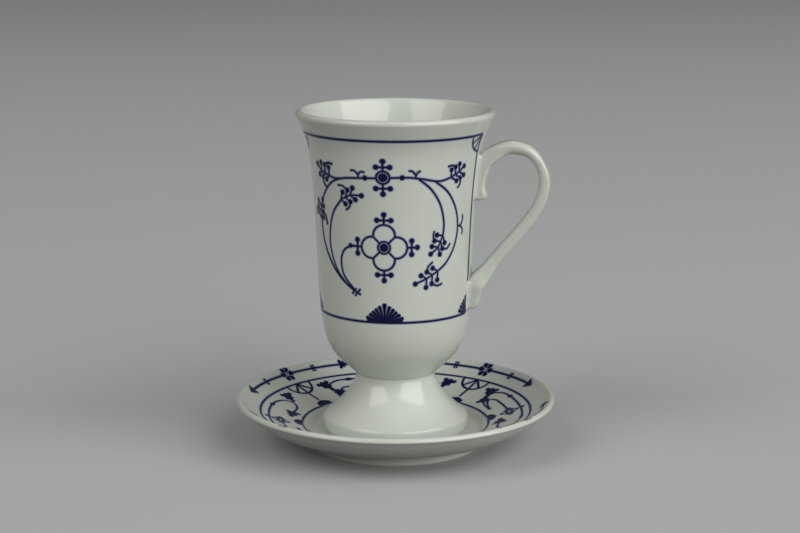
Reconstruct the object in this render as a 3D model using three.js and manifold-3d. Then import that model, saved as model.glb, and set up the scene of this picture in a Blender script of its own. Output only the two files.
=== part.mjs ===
// Tall footed porcelain coffee cup with a strap handle, standing in the well of its saucer.
// Millimetres, +Z up. The origin is the middle of the saucer's foot ring, on the table.
// The handle points along +X.
import * as THREE from 'three';
import { mergeVertices } from 'three/addons/utils/BufferGeometryUtils.js';
import Module from 'manifold-3d';

// Saucer
const saucerDiameter = 140;
const saucerHeight = 21.6;
const saucerThickness = 3.4;
const saucerLip = 3.0;
const wellFloorHeight = 6.5;
const wellClearance = 3.6;
const wellBendWidth = 5.4;
const wellBendRise = 2.7;
const footRingDiameter = 74.8;
const footRingWidth = 3.2;
const footRingEdge = 0.6;
const footRingFillet = 1.4;

// Bowl of the cup, with heights measured from the cup's own base
const cupHeight = 141.5;
const rimDiameter = 86;
const flareHeight = 24.5;
const waistDiameter = 72.6;
const shoulderDiameter = 65;
const shoulderHeight = 53.5;
const bowlWall = 3.3;
const lipHeight = 1.5;
const bowlFloor = 5;
const seatMargin = 0.4;

// Foot of the cup
const neckDiameter = 34.4;
const neckHeight = 26.1;
const footDiameter = 64.2;
const beadHeight = 8;
const beadMiddle = 4.2;
const beadUndercut = 1.9;
const standingRingWidth = 2.8;
const footWall = 4.5;

// Handle: stand-offs are from the outside of the bowl to the middle of the strap
const strapThickness = 4.4;
const strapWidth = 9;
const strapAngle = 48.5;
const crestThickness = 5.5;
const crestDrop = 14.7;
const crestStandOff = 14.4;
const turnDrop = 13.9;
const turnStandOff = 29.3;
const kneeStandOff = 12.5;
const kneeThickness = 5.4;
const kneeRise = 24;
const tailRise = 2.2;
const tailThickness = 6.4;
const tailWidth = 12;
const tailRounding = 1.8;
const lugDrop = 22.4;
const lugThickness = 6;
const lugWidth = 11.4;
const lugRounding = 0.8;
const lugAngle = 24;
const spurStandOff = 2;
const slipGap = 0.3;

// Fullness of the curves: how far a control point lies along the span that it shapes
const quarterRound = 0.5523;
const bottomSpread = 0.24;
const bottomFullness = 0.66;
const bodyFullness = 0.3;
const shoulderLean = 1.3;
const waistLean = 2;
const flareFullness = 0.44;
const flareLean = 0.5;
const floorFullness = 0.8;
const floorSpread = 0.55;
const footFlareOut = 0.56;
const footFlareUp = 0.42;
const neckFullness = 0.21;
const underFullness = 0.44;
const underSag = 0.2;
const flangeFullness = 0.36;
const strapFullness = 0.4;
const kneeFullness = 0.45;

// Facets
const turnSegments = 48;
const curveSteps = 6;
const strapSteps = 8;
const sectionSides = 14;
const domeSteps = 3;

const wasm = await Module();
wasm.setup();
const { clamp, degToRad, lerp, smoothstep } = THREE.MathUtils;

const rimRadius = rimDiameter / 2;
const waistRadius = waistDiameter / 2;
const shoulderRadius = shoulderDiameter / 2;
const neckRadius = neckDiameter / 2;
const footRadius = footDiameter / 2;
const lipEdgeHeight = cupHeight - lipHeight;
const waistHeight = cupHeight - flareHeight;

// Closed surface of revolution about Z from an outline of (radius, height) points
function revolve(outline) {
  const geometry = new THREE.LatheGeometry(outline, turnSegments);
  return geometry.rotateX(Math.PI / 2);
}

// Outside of the bowl from its seat to the edge of the lip: round bottom, upright body and flare.
// Each curve leaves a joint in the direction in which the one before it arrived.
function bowlOutside() {
  const bottomRise = shoulderHeight - neckHeight;
  const bodyRise = waistHeight - shoulderHeight;
  const bodySlope = (waistRadius - shoulderRadius) / bodyRise;
  const shoulderSlope = bodySlope * shoulderLean;
  const waistSlope = bodySlope * waistLean;
  const bottomUp = bottomRise * bottomSpread;
  const bottomDown = bottomRise * bottomFullness;
  const bodyPull = bodyRise * bodyFullness;
  const flarePull = flareHeight * flareFullness;
  const seatRadius = neckRadius + seatMargin;
  const path = new THREE.Path();
  path.moveTo(seatRadius, neckHeight);
  path.bezierCurveTo(
    seatRadius + bottomUp, neckHeight + bottomUp,
    shoulderRadius - shoulderSlope * bottomDown, shoulderHeight - bottomDown,
    shoulderRadius, shoulderHeight,
  );
  path.bezierCurveTo(
    shoulderRadius + shoulderSlope * bodyPull, shoulderHeight + bodyPull,
    waistRadius - waistSlope * bodyPull, waistHeight - bodyPull,
    waistRadius, waistHeight,
  );
  path.bezierCurveTo(
    waistRadius + waistSlope * flarePull, waistHeight + flarePull,
    rimRadius - flareLean * flarePull, lipEdgeHeight - flarePull,
    rimRadius, lipEdgeHeight,
  );
  return path.getPoints(curveSteps);
}

// The same outline moved outwards by a gap, or inwards by a wall
function movedOut(outline, distance) {
  return outline.map((point) => new THREE.Vector2(point.x + distance, point.y));
}

function makeBowl() {
  const outside = bowlOutside();
  const lip = new THREE.EllipseCurve(
    rimRadius - bowlWall / 2, lipEdgeHeight, bowlWall / 2, lipHeight, 0, Math.PI,
  );
  const upright = outside.filter((point) => point.y >= shoulderHeight);
  const inside = movedOut(upright, -bowlWall).reverse();
  const floorHeight = neckHeight + bowlFloor;
  const innerShoulder = shoulderRadius - bowlWall;
  const floorDown = (shoulderHeight - floorHeight) * floorFullness;
  const bottom = new THREE.CubicBezierCurve(
    new THREE.Vector2(innerShoulder, shoulderHeight),
    new THREE.Vector2(innerShoulder, shoulderHeight - floorDown),
    new THREE.Vector2(innerShoulder * floorSpread, floorHeight),
    new THREE.Vector2(0, floorHeight),
  );
  return revolve([
    new THREE.Vector2(0, neckHeight),
    ...outside,
    ...lip.getPoints(curveSteps).slice(1, -1),
    ...inside.slice(0, -1),
    ...bottom.getPoints(curveSteps),
  ]);
}

// Trumpet foot: rounded bead, flare and neck outside, hollow with an even wall and open underneath
function makeFoot() {
  const baseRadius = footRadius - beadUndercut;
  const ringInside = baseRadius - standingRingWidth;
  const flareRise = neckHeight - beadHeight;
  const beadRound = quarterRound * (beadHeight - beadMiddle);
  const baseRound = quarterRound * beadMiddle;
  const edgeRound = quarterRound * beadUndercut;
  const bead = new THREE.Path();
  bead.moveTo(baseRadius, 0);
  bead.bezierCurveTo(
    baseRadius + edgeRound, edgeRound / 2, footRadius, beadMiddle - baseRound, footRadius, beadMiddle,
  );
  bead.bezierCurveTo(
    footRadius, beadMiddle + beadRound, baseRadius + edgeRound, beadHeight - edgeRound, baseRadius, beadHeight,
  );
  const flare = new THREE.CubicBezierCurve(
    new THREE.Vector2(baseRadius, beadHeight),
    new THREE.Vector2(baseRadius - flareRise * footFlareOut, beadHeight + flareRise * footFlareUp),
    new THREE.Vector2(neckRadius, neckHeight - flareRise * neckFullness),
    new THREE.Vector2(neckRadius, neckHeight),
  );
  const hollow = [];
  for (let step = curveSteps; step >= 0; step -= 1) {
    const point = flare.getPoint(step / curveSteps);
    const along = flare.getTangent(step / curveSteps);
    hollow.push(new THREE.Vector2(point.x - along.y * footWall, point.y + along.x * footWall));
  }
  return revolve([
    new THREE.Vector2(ringInside, 0),
    ...bead.getPoints(curveSteps),
    ...flare.getPoints(curveSteps).slice(1),
    ...hollow,
    new THREE.Vector2(ringInside, 0),
  ]);
}

// Saucer: foot ring, underside, rounded lip, flange, and the sunk well that holds the cup's foot
function makeSaucer() {
  const saucerRadius = saucerDiameter / 2;
  const lipRadius = saucerLip / 2;
  const lipRound = quarterRound * lipRadius;
  const lipMiddle = saucerHeight - lipRadius;
  const lipUnder = saucerHeight - saucerLip;
  const ringOutside = footRingDiameter / 2;
  const ringInside = ringOutside - footRingWidth;
  const ringJoint = ringOutside + footRingFillet;
  const underWell = wellFloorHeight - saucerThickness;
  const underJoint = underWell + footRingEdge;
  const underRun = saucerRadius - lipRadius - ringJoint;
  const underRise = lipUnder - underJoint;
  const wellRadius = footRadius + wellClearance;
  const bendRadius = wellRadius + wellBendWidth;
  const bendHeight = wellFloorHeight + wellBendRise;
  const flangeEnd = saucerRadius - lipRadius;
  const flangePull = (flangeEnd - bendRadius) * flangeFullness;
  const flangeSlope = (saucerHeight - bendHeight) / (flangeEnd - bendRadius);
  const path = new THREE.Path();
  path.moveTo(0, underWell);
  path.lineTo(ringInside - footRingFillet, underWell);
  path.quadraticCurveTo(ringInside, underWell, ringInside, footRingEdge);
  path.lineTo(ringInside + footRingEdge, 0);
  path.lineTo(ringOutside - footRingEdge, 0);
  path.lineTo(ringOutside, footRingEdge);
  path.quadraticCurveTo(ringOutside, underWell, ringJoint, underJoint);
  path.bezierCurveTo(
    ringJoint + underRun * underFullness, underJoint + underRise * underSag,
    flangeEnd - underRun * underSag, lipUnder - underRise * underFullness,
    flangeEnd, lipUnder,
  );
  path.bezierCurveTo(
    flangeEnd + lipRound, lipUnder + lipRound / 2, saucerRadius, lipMiddle - lipRound, saucerRadius, lipMiddle,
  );
  path.bezierCurveTo(
    saucerRadius, lipMiddle + lipRound, flangeEnd + lipRound, saucerHeight, flangeEnd, saucerHeight,
  );
  path.bezierCurveTo(
    flangeEnd - flangePull / 2, saucerHeight - flangePull * flangeSlope,
    bendRadius + flangePull, bendHeight + flangePull * flangeSlope * waistLean / 2,
    bendRadius, bendHeight,
  );
  path.bezierCurveTo(
    bendRadius - wellBendWidth / 2, bendHeight - wellBendRise / 2,
    wellRadius + wellBendWidth / 2, wellFloorHeight,
    wellRadius, wellFloorHeight,
  );
  path.lineTo(0, wellFloorHeight);
  return revolve(path.getPoints(curveSteps));
}

// A point at a height, a given distance outside the bowl, read between the points of its outline
function offWall(standOff, height) {
  const outline = bowlOutside();
  const above = outline.find((point) => point.y > height) ?? outline[outline.length - 1];
  const below = outline[Math.max(outline.indexOf(above) - 1, 0)];
  const share = clamp((height - below.y) / (above.y - below.y), 0, 1);
  return new THREE.Vector2(lerp(below.x, above.x, share) + standOff, height);
}

// Sections along a run of curves in the XZ plane. Thickness and width ease from one end of each
// curve to the other, and the last section is rounded off by shrinking copies of itself.
function stationsAlong(runs, rounding) {
  const stations = [];
  runs.forEach(({ curve, from, to }, run) => {
    for (let step = run === 0 ? 0 : 1; step <= strapSteps; step += 1) {
      const ease = smoothstep(step / strapSteps, 0, 1);
      stations.push({
        centre: curve.getPoint(step / strapSteps),
        along: curve.getTangent(step / strapSteps),
        thickness: lerp(from.thickness, to.thickness, ease),
        width: lerp(from.width, to.width, ease),
      });
    }
  });
  const end = stations[stations.length - 1];
  for (let step = 1; step <= domeSteps; step += 1) {
    const angle = (step / domeSteps) * Math.PI / 2;
    const inset = 2 * rounding * (1 - Math.cos(angle));
    stations.push({
      centre: end.centre.clone().addScaledVector(end.along, rounding * Math.sin(angle)),
      along: end.along,
      thickness: end.thickness - inset,
      width: end.width - inset,
    });
  }
  return stations;
}

// Closed skin of oval sections, with a fan of triangles on each end
function loft(stations) {
  const positions = [];
  const triangles = [];
  stations.forEach(({ centre, along, thickness, width }) => {
    for (let side = 0; side < sectionSides; side += 1) {
      const angle = (side / sectionSides) * Math.PI * 2;
      const out = Math.cos(angle) * thickness / 2;
      positions.push(centre.x + along.y * out, Math.sin(angle) * width / 2, centre.y - along.x * out);
    }
  });
  const first = stations[0].centre;
  const last = stations[stations.length - 1].centre;
  const firstIndex = stations.length * sectionSides;
  const lastRow = firstIndex - sectionSides;
  positions.push(first.x, 0, first.y, last.x, 0, last.y);
  for (let side = 0; side < sectionSides; side += 1) {
    const next = (side + 1) % sectionSides;
    for (let row = 0; row < lastRow; row += sectionSides) {
      const above = row + sectionSides;
      triangles.push(row + side, row + next, above + next, row + side, above + next, above + side);
    }
    triangles.push(firstIndex, next, side, firstIndex + 1, lastRow + side, lastRow + next);
  }
  const geometry = new THREE.BufferGeometry();
  geometry.setAttribute('position', new THREE.Float32BufferAttribute(positions, 3));
  geometry.setIndex(triangles);
  return geometry;
}

// Solid for joining and cutting
function solidOf(geometry) {
  const bare = geometry.clone();
  bare.deleteAttribute('normal');
  bare.deleteAttribute('uv');
  const merged = mergeVertices(bare);
  return new wasm.Manifold(new wasm.Mesh({
    numProp: 3,
    vertProperties: new Float32Array(merged.attributes.position.array),
    triVerts: new Uint32Array(merged.index.array),
  }));
}

function geometryOf(solid) {
  const mesh = solid.getMesh();
  const geometry = new THREE.BufferGeometry();
  geometry.setAttribute('position', new THREE.BufferAttribute(mesh.vertProperties, 3));
  geometry.setIndex(new THREE.BufferAttribute(mesh.triVerts, 1));
  geometry.computeVertexNormals();
  return geometry;
}

// Strap: it leaves the wall under the flare, rises to a crest, turns down and runs straight back
// to the wall, where its tail lies along the bowl
function makeStrap(crest) {
  const root = offWall(0, crest.y - crestThickness);
  const turn = offWall(turnStandOff, crest.y - turnDrop);
  const tail = offWall(tailThickness / 6, shoulderHeight + tailRise + tailRounding);
  const knee = offWall(kneeStandOff, tail.y + kneeRise);
  const back = new THREE.Vector2(Math.cos(degToRad(strapAngle)), Math.sin(degToRad(strapAngle)));
  const straight = turn.distanceTo(knee) * strapFullness;
  const bend = knee.distanceTo(tail) * kneeFullness;
  const rootToCrest = new THREE.CubicBezierCurve(
    root,
    new THREE.Vector2(lerp(root.x, crest.x, strapFullness), lerp(root.y, crest.y, strapFullness)),
    new THREE.Vector2(lerp(crest.x, root.x, strapFullness), crest.y),
    crest,
  );
  const crestToTurn = new THREE.CubicBezierCurve(
    crest,
    new THREE.Vector2(lerp(crest.x, turn.x, quarterRound), crest.y),
    new THREE.Vector2(turn.x, lerp(turn.y, crest.y, quarterRound)),
    turn,
  );
  const turnToKnee = new THREE.CubicBezierCurve(
    turn,
    new THREE.Vector2(turn.x, turn.y - straight * floorFullness),
    knee.clone().addScaledVector(back, straight),
    knee,
  );
  const kneeToTail = new THREE.CubicBezierCurve(
    knee,
    knee.clone().addScaledVector(back, -bend),
    new THREE.Vector2(tail.x, tail.y + bend),
    tail,
  );
  const rootSection = { thickness: crestThickness, width: lugWidth };
  const crestSection = { thickness: crestThickness, width: strapWidth };
  const strapSection = { thickness: strapThickness, width: strapWidth };
  const kneeSection = { thickness: kneeThickness, width: strapWidth };
  const tailSection = { thickness: tailThickness, width: tailWidth };
  return loft(stationsAlong([
    { curve: rootToCrest, from: rootSection, to: crestSection },
    { curve: crestToTurn, from: crestSection, to: strapSection },
    { curve: turnToKnee, from: strapSection, to: kneeSection },
    { curve: kneeToTail, from: kneeSection, to: tailSection },
  ], tailRounding));
}

// Lug: it branches off under the crest, lies down the wall and ends in a small spur
function makeLug(crest) {
  const top = offWall(crestStandOff - crestThickness, crest.y - strapThickness / 4);
  const end = offWall(spurStandOff, crest.y - lugDrop + lugRounding);
  const reach = top.distanceTo(end) * strapFullness;
  const outwards = new THREE.Vector2(Math.sin(degToRad(lugAngle)), -Math.cos(degToRad(lugAngle)));
  const down = new THREE.CubicBezierCurve(
    top,
    new THREE.Vector2(top.x - reach * Math.cos(degToRad(lugAngle)), top.y - reach * Math.sin(degToRad(lugAngle))),
    end.clone().addScaledVector(outwards, -reach),
    end,
  );
  const topSection = { thickness: crestThickness, width: strapWidth };
  const endSection = { thickness: lugThickness, width: lugWidth };
  return loft(stationsAlong([{ curve: down, from: topSection, to: endSection }], lugRounding));
}

// The handle is cut back to the bowl's wall, with room for the slip that joins the two
function makeHandle() {
  const crest = offWall(crestStandOff, cupHeight - crestDrop);
  const wall = revolve([
    new THREE.Vector2(0, neckHeight),
    ...movedOut(bowlOutside(), slipGap),
    new THREE.Vector2(0, lipEdgeHeight),
  ]);
  const limbs = solidOf(makeStrap(crest)).add(solidOf(makeLug(crest)));
  return geometryOf(limbs.subtract(solidOf(wall)));
}

const glaze = new THREE.MeshStandardMaterial({ color: 0xeef1ef, roughness: 0.12, metalness: 0 });

function piece(name, geometry) {
  const mesh = new THREE.Mesh(geometry, glaze.clone());
  mesh.name = name;
  return mesh;
}

const cup = new THREE.Group();
cup.position.z = wellFloorHeight;
cup.add(piece('cup_bowl', makeBowl()));
cup.add(piece('cup_foot', makeFoot()));
cup.add(piece('cup_handle', makeHandle()));

const coffeeCup = new THREE.Group();
coffeeCup.add(piece('saucer', makeSaucer()));
coffeeCup.add(cup);

export default coffeeCup;
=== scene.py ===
# Tall footed porcelain coffee cup with a strap handle, standing in the well of its saucer.
# Lengths are in millimetres until a mesh is made. The handle points along +X.
import math

import bpy
import numpy as np
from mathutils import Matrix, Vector


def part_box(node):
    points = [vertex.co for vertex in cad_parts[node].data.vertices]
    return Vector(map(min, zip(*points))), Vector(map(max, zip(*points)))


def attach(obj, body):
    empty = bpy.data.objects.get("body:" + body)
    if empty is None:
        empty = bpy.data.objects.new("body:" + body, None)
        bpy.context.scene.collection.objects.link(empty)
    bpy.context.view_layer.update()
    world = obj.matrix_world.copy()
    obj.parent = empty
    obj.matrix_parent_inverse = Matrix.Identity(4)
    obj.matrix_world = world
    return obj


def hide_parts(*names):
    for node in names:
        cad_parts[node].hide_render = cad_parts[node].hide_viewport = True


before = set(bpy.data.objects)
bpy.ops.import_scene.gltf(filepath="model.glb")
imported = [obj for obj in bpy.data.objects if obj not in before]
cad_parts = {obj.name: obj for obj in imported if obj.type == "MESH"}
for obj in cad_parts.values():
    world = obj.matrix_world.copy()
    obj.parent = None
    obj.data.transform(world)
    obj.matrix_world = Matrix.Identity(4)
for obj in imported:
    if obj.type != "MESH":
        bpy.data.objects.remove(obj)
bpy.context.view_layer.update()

MM = 0.001

# Camera, its focus and its shift aside counted in pixels of the picture
PICTURE_WIDTH = 800
PICTURE_FOCUS = 1911.5
SENSOR_WIDTH = 36.0
CAMERA_AWAY = 815.9
CAMERA_HEIGHT = 247.6
CAMERA_TURN = math.radians(8.5)
CAMERA_DIP = math.radians(11.674)
PICTURE_ASIDE = 4.7
CAMERA_ASIDE = math.atan2(PICTURE_ASIDE, PICTURE_FOCUS)

# Sizes read from the frame
SAUCER_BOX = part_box("saucer")
BOWL_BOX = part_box("cup_bowl")
FOOT_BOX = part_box("cup_foot")
SAUCER_RADIUS = SAUCER_BOX[1].x / MM
SAUCER_HEIGHT = SAUCER_BOX[1].z / MM
CUP_BASE = FOOT_BOX[0].z / MM
NECK_TOP = FOOT_BOX[1].z / MM
FOOT_RADIUS = FOOT_BOX[1].x / MM
RIM_RADIUS = BOWL_BOX[1].x / MM
RIM_TOP = BOWL_BOX[1].z / MM

# Bowl, where a pull is the share of a run over which a curve keeps the direction of its end
SHOULDER_RADIUS = 32.5
SHOULDER_HEIGHT = CUP_BASE + 53.5
WAIST_RADIUS = 36.3
WAIST_HEIGHT = RIM_TOP - 24.5
BOWL_WALL = 3.3
BOWL_FLOOR = NECK_TOP + 5.0
NECK_RADIUS = 17.2
SEAT_RADIUS = 17.6
FLARE_LEAN = 0.5
SHOULDER_LEAN = 1.3
WAIST_LEAN = 2.0
SEAT_PULL = 0.24
SHOULDER_PULL = 0.66
BODY_PULL = 0.3
FLARE_PULL = 0.44
FLOOR_DROP = 0.8
FLOOR_SPREAD = 0.55

# Foot
BEAD_UNDERCUT = 1.9
BEAD_HEIGHT = 8.0
BEAD_MIDDLE = 5.2
STANDING_RING = 2.8
FOOT_WALL = 4.5
BEAD_PULL = 0.66
BEAD_SHOULDER = 0.75
TRUMPET_IN = 0.56
TRUMPET_UP = 0.42
NECK_PULL = 0.21
BARE_HEIGHT = 0.35

# Saucer
SAUCER_THICKNESS = 3.4
SAUCER_LIP = 3.0
WELL_RADIUS = FOOT_RADIUS + 3.6
FLANGE_START = 41.0
FLANGE_START_HEIGHT = 9.2
RING_OUTSIDE = 37.4
RING_WIDTH = 3.2
RING_EDGE = 0.6
RING_FILLET = 1.4
WELL_PULL = np.array([2.2, 0.0])
BEND_PULL = np.array([2.6, 1.3])
FLANGE_PULL = np.array([10.5, 3.0])
LIP_PULL = np.array([7.2, 6.5])
LIP_STEP = np.array([0.6, 0.35])
UNDER_LONG = 0.44
UNDER_SHORT = 0.2
LIP_OUT = 0.6
LIP_UP = 0.66
LIP_SIDE = 0.7

# Fineness of the meshes
TURN_STEPS = 192
CURVE_STEPS = 24
HANDLE_CELL = 0.3
STROKE_STEP = 0.5
BALL_STEPS = 20
RIB_STEPS = 8
SWELL_STEPS = 14
ARC_STEPS = 12
QUARTER_ROUND = 0.5523
TINY = 1e-6
SHARP_EDGE = math.radians(38)

# Decoration
LINE = 0.9
FRAME_LINE = 0.98
SIDE_LINE = 1.4
WHEEL_LINE = 1.1
THIN_LINE = 0.84
BALL = 1.14
TASSEL_BALL = 1.18
FAN_RIB = 1.66
CORNER_RIB = 1.64
FAN_HEART = 3.4
RIB_FOOT = 0.3
INK_EDGE = 0.12
HALO = 0.45
EDGE_INK = 0.5
LEAF_HOLLOW = -0.3
LEAF_LOBE = 1.1
SIDE_LOBE = 0.9
LEAF_STEPS = 6
LOBE_INSET = 0.2
END_TAPER = 0.85
LEAF_TIP = 0.12
RIB_TIP = 0.1
PRINT_LIFT = 0.045
EDGE_LIFT = 0.035
HALO_LIFT = 0.016
PRINT_SINK = 0.03
PRINT_EDGE = 0.05
PANEL_RADIUS = 34.4
PANEL_TOP = 139.3
PANEL_LOW = 61.45
PANEL_EDGE = 46.1
INNER_RING = 41.2
OUTER_RING = 59.6
GARLAND_RADIUS = 65.6
WHEEL_FACING = math.radians(58.5)
PANEL_FACINGS = (-math.pi / 2, math.pi / 2)
# How far the garland is turned, in degrees, and the flower moved aside in each quarter of the saucer
GARLAND_TURNS = (0, 0, -3, 4.5)
FLOWER_ASIDES = (0.0, -2.5, -4.5, -2.5)


def bezier(start, pull, push, end, steps=CURVE_STEPS):
    """Points along a cubic curve from start to end, both included."""
    t = np.linspace(0.0, 1.0, steps + 1)[:, None]
    s = 1.0 - t
    start, pull, push, end = (np.array(p, float) for p in (start, pull, push, end))
    return s ** 3 * start + 3 * s * s * t * pull + 3 * s * t * t * push + t ** 3 * end


def chain(*runs):
    """Runs of points as one outline, without the points where two runs meet."""
    joined = [np.array(runs[0], float)]
    for run in runs[1:]:
        joined.append(np.array(run, float)[1:])
    return np.vstack(joined)


def bowl_outside():
    """Outside of the bowl from its seat to the lip: round bottom, upright body and flare."""
    rise = WAIST_HEIGHT - SHOULDER_HEIGHT
    slope = (WAIST_RADIUS - SHOULDER_RADIUS) / rise
    shoulder = np.array([SHOULDER_RADIUS, SHOULDER_HEIGHT])
    waist = np.array([WAIST_RADIUS, WAIST_HEIGHT])
    lip_radius = BOWL_WALL / 2
    lean = math.hypot(FLARE_LEAN, 1.0)
    lip_out = lip_radius * (1.0 - 1.0 / lean)
    lip_down = lip_radius * (1.0 + FLARE_LEAN / lean)
    lip = np.array([RIM_RADIUS - lip_out, RIM_TOP - lip_down])
    bottom_rise = SHOULDER_HEIGHT - NECK_TOP
    bottom_up = SEAT_PULL * bottom_rise
    bottom_down = SHOULDER_PULL * bottom_rise
    body_pull = BODY_PULL * rise
    flare_pull = FLARE_PULL * (RIM_TOP - WAIST_HEIGHT)
    at_shoulder = np.array([SHOULDER_LEAN * slope, 1.0])
    at_waist = np.array([WAIST_LEAN * slope, 1.0])
    at_lip = np.array([FLARE_LEAN, 1.0])
    seat = np.array([SEAT_RADIUS, NECK_TOP])
    return chain(
        bezier(seat, seat + bottom_up, shoulder - at_shoulder * bottom_down, shoulder),
        bezier(shoulder, shoulder + at_shoulder * body_pull, waist - at_waist * body_pull, waist),
        bezier(waist, waist + at_waist * flare_pull, lip - at_lip * flare_pull, lip),
    )


def normals_of(outline):
    """Unit normals on the right-hand side of an outline, which is outwards on a rising wall."""
    along = np.gradient(outline, axis=0)
    along /= np.linalg.norm(along, axis=1)[:, None]
    return np.column_stack([along[:, 1], -along[:, 0]])


BOWL_OUTSIDE = bowl_outside()
BOWL_NORMALS = normals_of(BOWL_OUTSIDE)


def bowl_outline():
    """Closed outline of the bowl's wall, from the axis under it to the axis inside it."""
    lip_radius = BOWL_WALL / 2
    middle = BOWL_OUTSIDE[-1] - BOWL_NORMALS[-1] * lip_radius
    first = math.atan2(BOWL_NORMALS[-1][1], BOWL_NORMALS[-1][0])
    turn = first + np.linspace(0.0, math.pi, CURVE_STEPS + 1)
    lip = middle + lip_radius * np.column_stack([np.cos(turn), np.sin(turn)])
    upright = BOWL_OUTSIDE[:, 1] >= SHOULDER_HEIGHT
    inside = (BOWL_OUTSIDE - BOWL_NORMALS * BOWL_WALL)[upright][::-1]
    drop = FLOOR_DROP * (inside[-1][1] - BOWL_FLOOR)
    floor = bezier(
        inside[-1], (inside[-1][0], inside[-1][1] - drop),
        (FLOOR_SPREAD * inside[-1][0], BOWL_FLOOR), (0.0, BOWL_FLOOR),
    )
    return chain([(0.0, NECK_TOP), BOWL_OUTSIDE[0]], BOWL_OUTSIDE, lip, inside, floor)


def foot_outline():
    """Closed outline of the trumpet foot, hollow and open underneath."""
    base_radius = FOOT_RADIUS - BEAD_UNDERCUT
    base_round = QUARTER_ROUND * BEAD_MIDDLE
    bead_round = QUARTER_ROUND * (BEAD_HEIGHT - BEAD_MIDDLE)
    edge_round = BEAD_PULL * BEAD_UNDERCUT
    middle = CUP_BASE + BEAD_MIDDLE
    bead_top = CUP_BASE + BEAD_HEIGHT
    rise = NECK_TOP - bead_top
    bead = chain(
        bezier(
            (base_radius, CUP_BASE), (base_radius + edge_round, CUP_BASE + edge_round / 2),
            (FOOT_RADIUS, middle - base_round), (FOOT_RADIUS, middle),
        ),
        bezier(
            (FOOT_RADIUS, middle), (FOOT_RADIUS, middle + bead_round),
            (base_radius + edge_round, bead_top - BEAD_SHOULDER * edge_round), (base_radius, bead_top),
        ),
    )
    flare = bezier(
        (base_radius, bead_top), (base_radius - TRUMPET_IN * rise, bead_top + TRUMPET_UP * rise),
        (NECK_RADIUS, NECK_TOP - NECK_PULL * rise), (NECK_RADIUS, NECK_TOP),
    )
    hollow = (flare - normals_of(flare) * FOOT_WALL)[::-1]
    ring_inside = (base_radius - STANDING_RING, CUP_BASE)
    neck = [flare[-1], hollow[0]]
    base = [hollow[-1], ring_inside]
    return chain([ring_inside, bead[0]], bead, flare, neck, hollow, base)


def saucer_top():
    """Upper face of the saucer from the axis to the lip: well, bend and flange."""
    well = np.array([WELL_RADIUS, CUP_BASE])
    bend = np.array([FLANGE_START, FLANGE_START_HEIGHT])
    lip = np.array([SAUCER_RADIUS - SAUCER_LIP / 2, SAUCER_HEIGHT])
    return chain(
        [(0.0, CUP_BASE), well],
        bezier(well, well + WELL_PULL, bend - BEND_PULL, bend),
        bezier(bend, bend + FLANGE_PULL, lip - LIP_PULL, lip - LIP_STEP),
        [lip - LIP_STEP, lip],
    )


SAUCER_TOP = saucer_top()
SAUCER_NORMALS = -normals_of(SAUCER_TOP)


def saucer_outline():
    """Closed outline of the saucer, from the axis under it over the lip to the axis above it."""
    lip_round = QUARTER_ROUND * SAUCER_LIP / 2
    lip_middle = SAUCER_HEIGHT - SAUCER_LIP / 2
    lip_under = SAUCER_HEIGHT - SAUCER_LIP
    flange_end = SAUCER_RADIUS - SAUCER_LIP / 2
    under_well = CUP_BASE - SAUCER_THICKNESS
    ring_inside = RING_OUTSIDE - RING_WIDTH
    joint = (RING_OUTSIDE + RING_FILLET, under_well + RING_EDGE)
    run = flange_end - joint[0]
    rise = lip_under - joint[1]
    inner = bezier(
        (ring_inside - RING_FILLET, under_well), (ring_inside - RING_FILLET / 3, under_well),
        (ring_inside, under_well - RING_FILLET / 3), (ring_inside, RING_EDGE),
    )
    outer = bezier(
        (RING_OUTSIDE, RING_EDGE), (RING_OUTSIDE, under_well - RING_FILLET / 3),
        (RING_OUTSIDE + RING_FILLET / 3, under_well), joint,
    )
    inner_edge = bezier(
        (ring_inside, RING_EDGE), (ring_inside, RING_EDGE / 3),
        (ring_inside + RING_EDGE / 3, 0.0), (ring_inside + RING_EDGE, 0.0),
    )
    outer_edge = bezier(
        (RING_OUTSIDE - RING_EDGE, 0.0), (RING_OUTSIDE - RING_EDGE / 3, 0.0),
        (RING_OUTSIDE, RING_EDGE / 3), (RING_OUTSIDE, RING_EDGE),
    )
    under = bezier(
        joint, (joint[0] + UNDER_LONG * run, joint[1] + UNDER_SHORT * rise),
        (flange_end - UNDER_SHORT * run, lip_under - UNDER_LONG * rise), (flange_end, lip_under),
    )
    lip = chain(
        bezier(
            (flange_end, lip_under), (flange_end + LIP_OUT * lip_round, lip_under + LIP_UP * lip_round),
            (SAUCER_RADIUS, lip_middle - LIP_SIDE * lip_round), (SAUCER_RADIUS, lip_middle),
        ),
        bezier(
            (SAUCER_RADIUS, lip_middle), (SAUCER_RADIUS, lip_middle + lip_round),
            (flange_end + lip_round, SAUCER_HEIGHT), (flange_end, SAUCER_HEIGHT),
        ),
    )
    ring = chain(inner, inner_edge, [inner_edge[-1], outer_edge[0]], outer_edge, outer)
    return chain([(0.0, under_well), inner[0]], ring, under, lip, SAUCER_TOP[::-1])


def make_piece(name, points, faces, body, materials):
    """Mesh object in metres that rides on a body and takes its finish from a slot."""
    mesh = bpy.data.meshes.new(name)
    mesh.from_pydata((np.asarray(points) * MM).tolist(), [], faces)
    mesh.polygons.foreach_set("use_smooth", [True] * len(mesh.polygons))
    for material in materials:
        mesh.materials.append(material)
    mesh.update()
    piece = bpy.data.objects.new(name, mesh)
    bpy.context.scene.collection.objects.link(piece)
    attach(piece, body)
    return piece


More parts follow.
